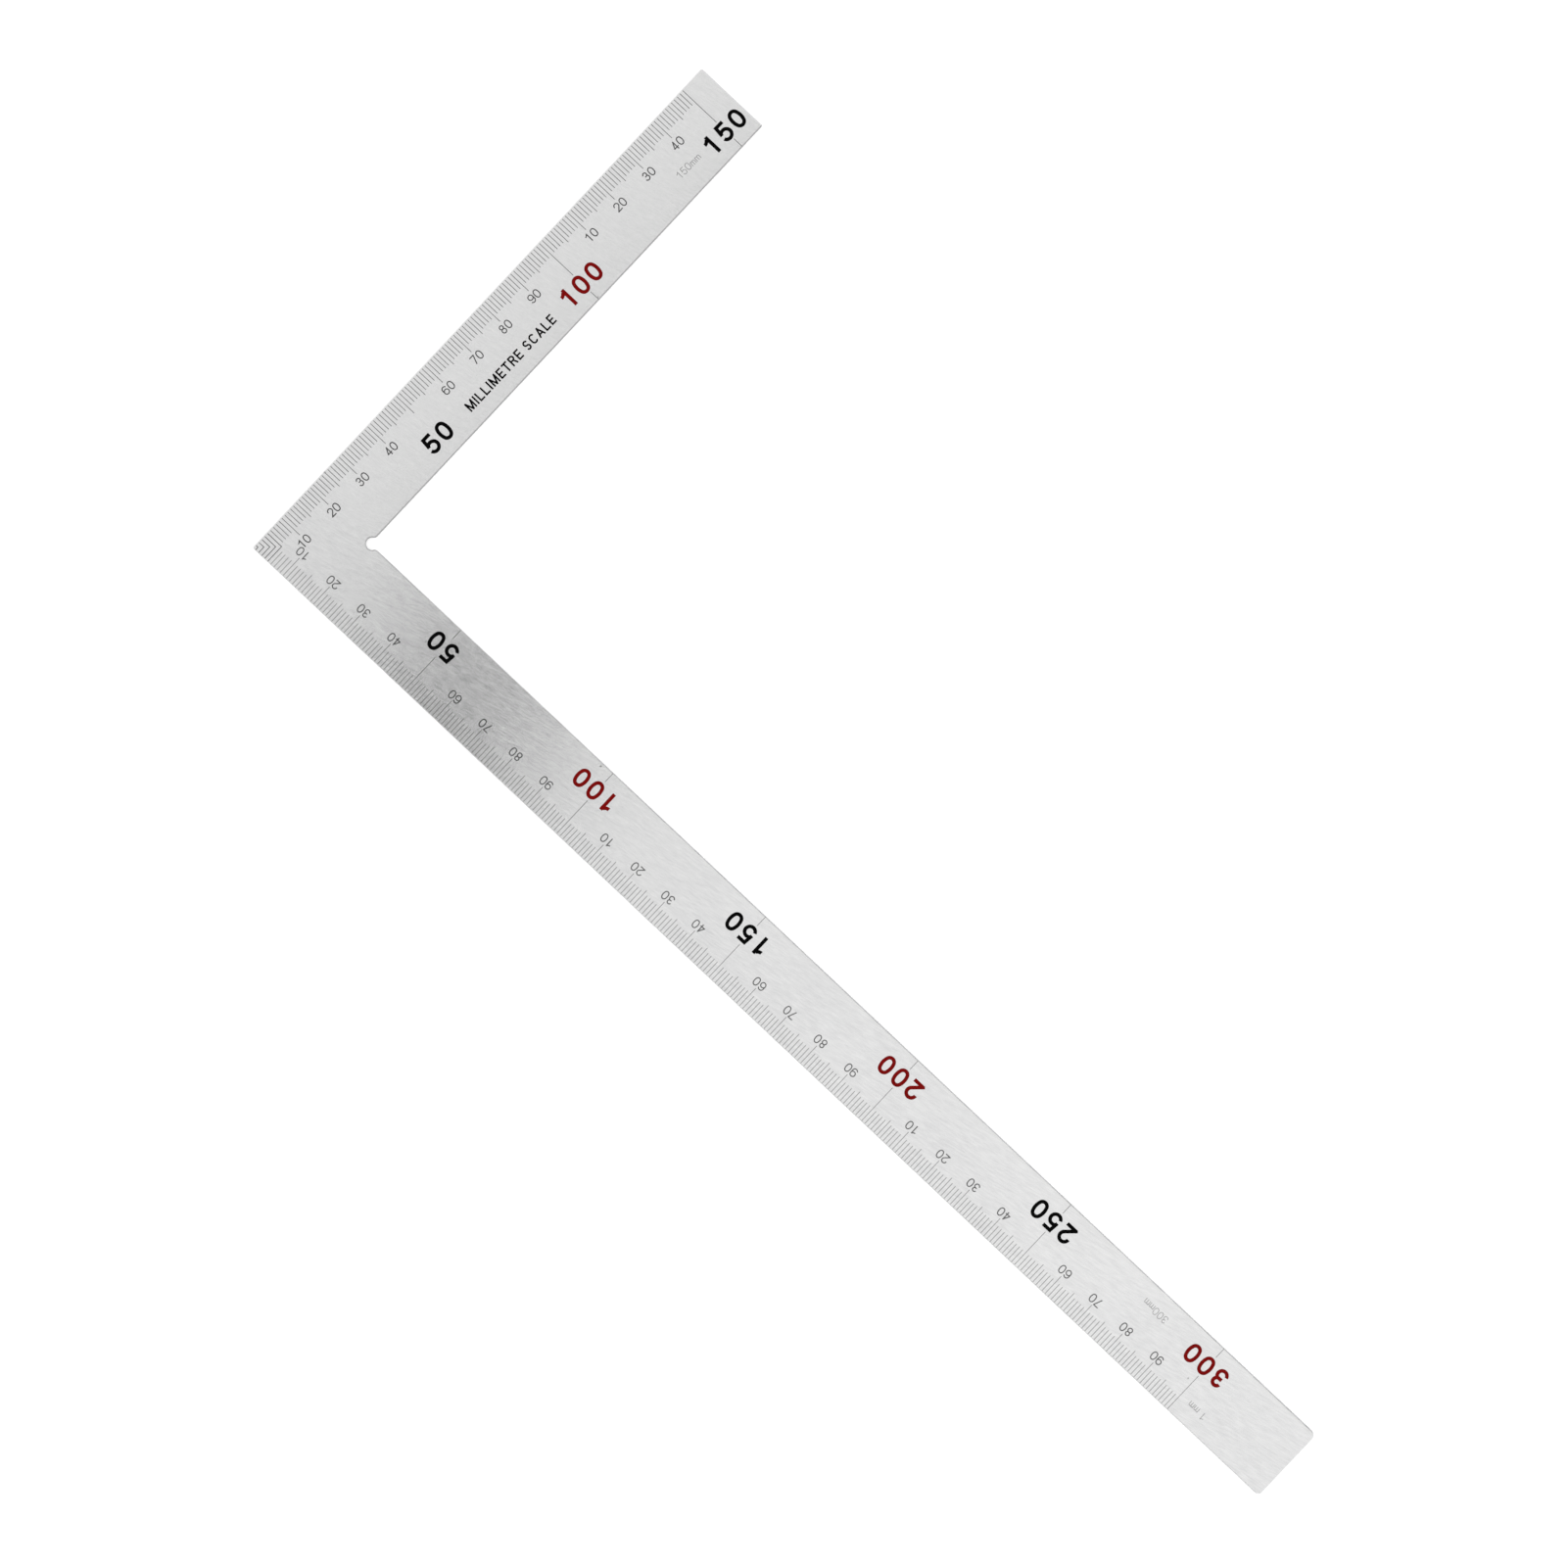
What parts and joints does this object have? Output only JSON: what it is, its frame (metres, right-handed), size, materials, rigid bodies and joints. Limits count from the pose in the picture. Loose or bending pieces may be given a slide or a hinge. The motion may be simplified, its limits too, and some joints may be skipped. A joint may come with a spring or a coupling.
{
  "type": "steel square ruler",
  "caption": "Flat L-shaped steel square with a millimetre scale along the outer edge of each arm, painted etched marks and a round relief notch in the inner corner.",
  "frame": {"origin": "outer corner of the L, where both scales start, on the underside", "axes": "+X along the long arm's outer edge, +Y along the short arm's outer edge, +Z out of the marked face"},
  "size_m": [0.33, 0.157, 0.0012],
  "materials": {
    "steel": "fine brushed stainless steel",
    "grey_paint": "matt dark grey paint in etched lines",
    "black_paint": "matt black paint in etched numerals",
    "red_paint": "matt dark red paint in etched numerals"
  },
  "bodies": {
    "root": {"blade": "steel", "corner_marks": "grey_paint", "long_ticks_1mm": "grey_paint", "long_ticks_5mm": "grey_paint", "long_ticks_10mm": "grey_paint", "long_lines_50mm": "grey_paint", "short_ticks_1mm": "grey_paint", "short_ticks_5mm": "grey_paint", "short_ticks_10mm": "grey_paint", "short_lines_50mm": "grey_paint", "long_small_numerals": "grey_paint", "short_small_numerals": "grey_paint", "long_numeral_50": "black_paint", "long_numeral_100": "red_paint", "long_numeral_150": "black_paint", "long_numeral_200": "red_paint", "long_numeral_250": "black_paint", "long_numeral_300": "red_paint", "short_numeral_50": "black_paint", "short_numeral_100": "red_paint", "short_numeral_150": "black_paint", "short_wording": "black_paint", "long_unit_mark": "grey_paint", "long_end_unit_mark": "grey_paint", "short_unit_mark": "grey_paint"}
  },
  "joints": []
}
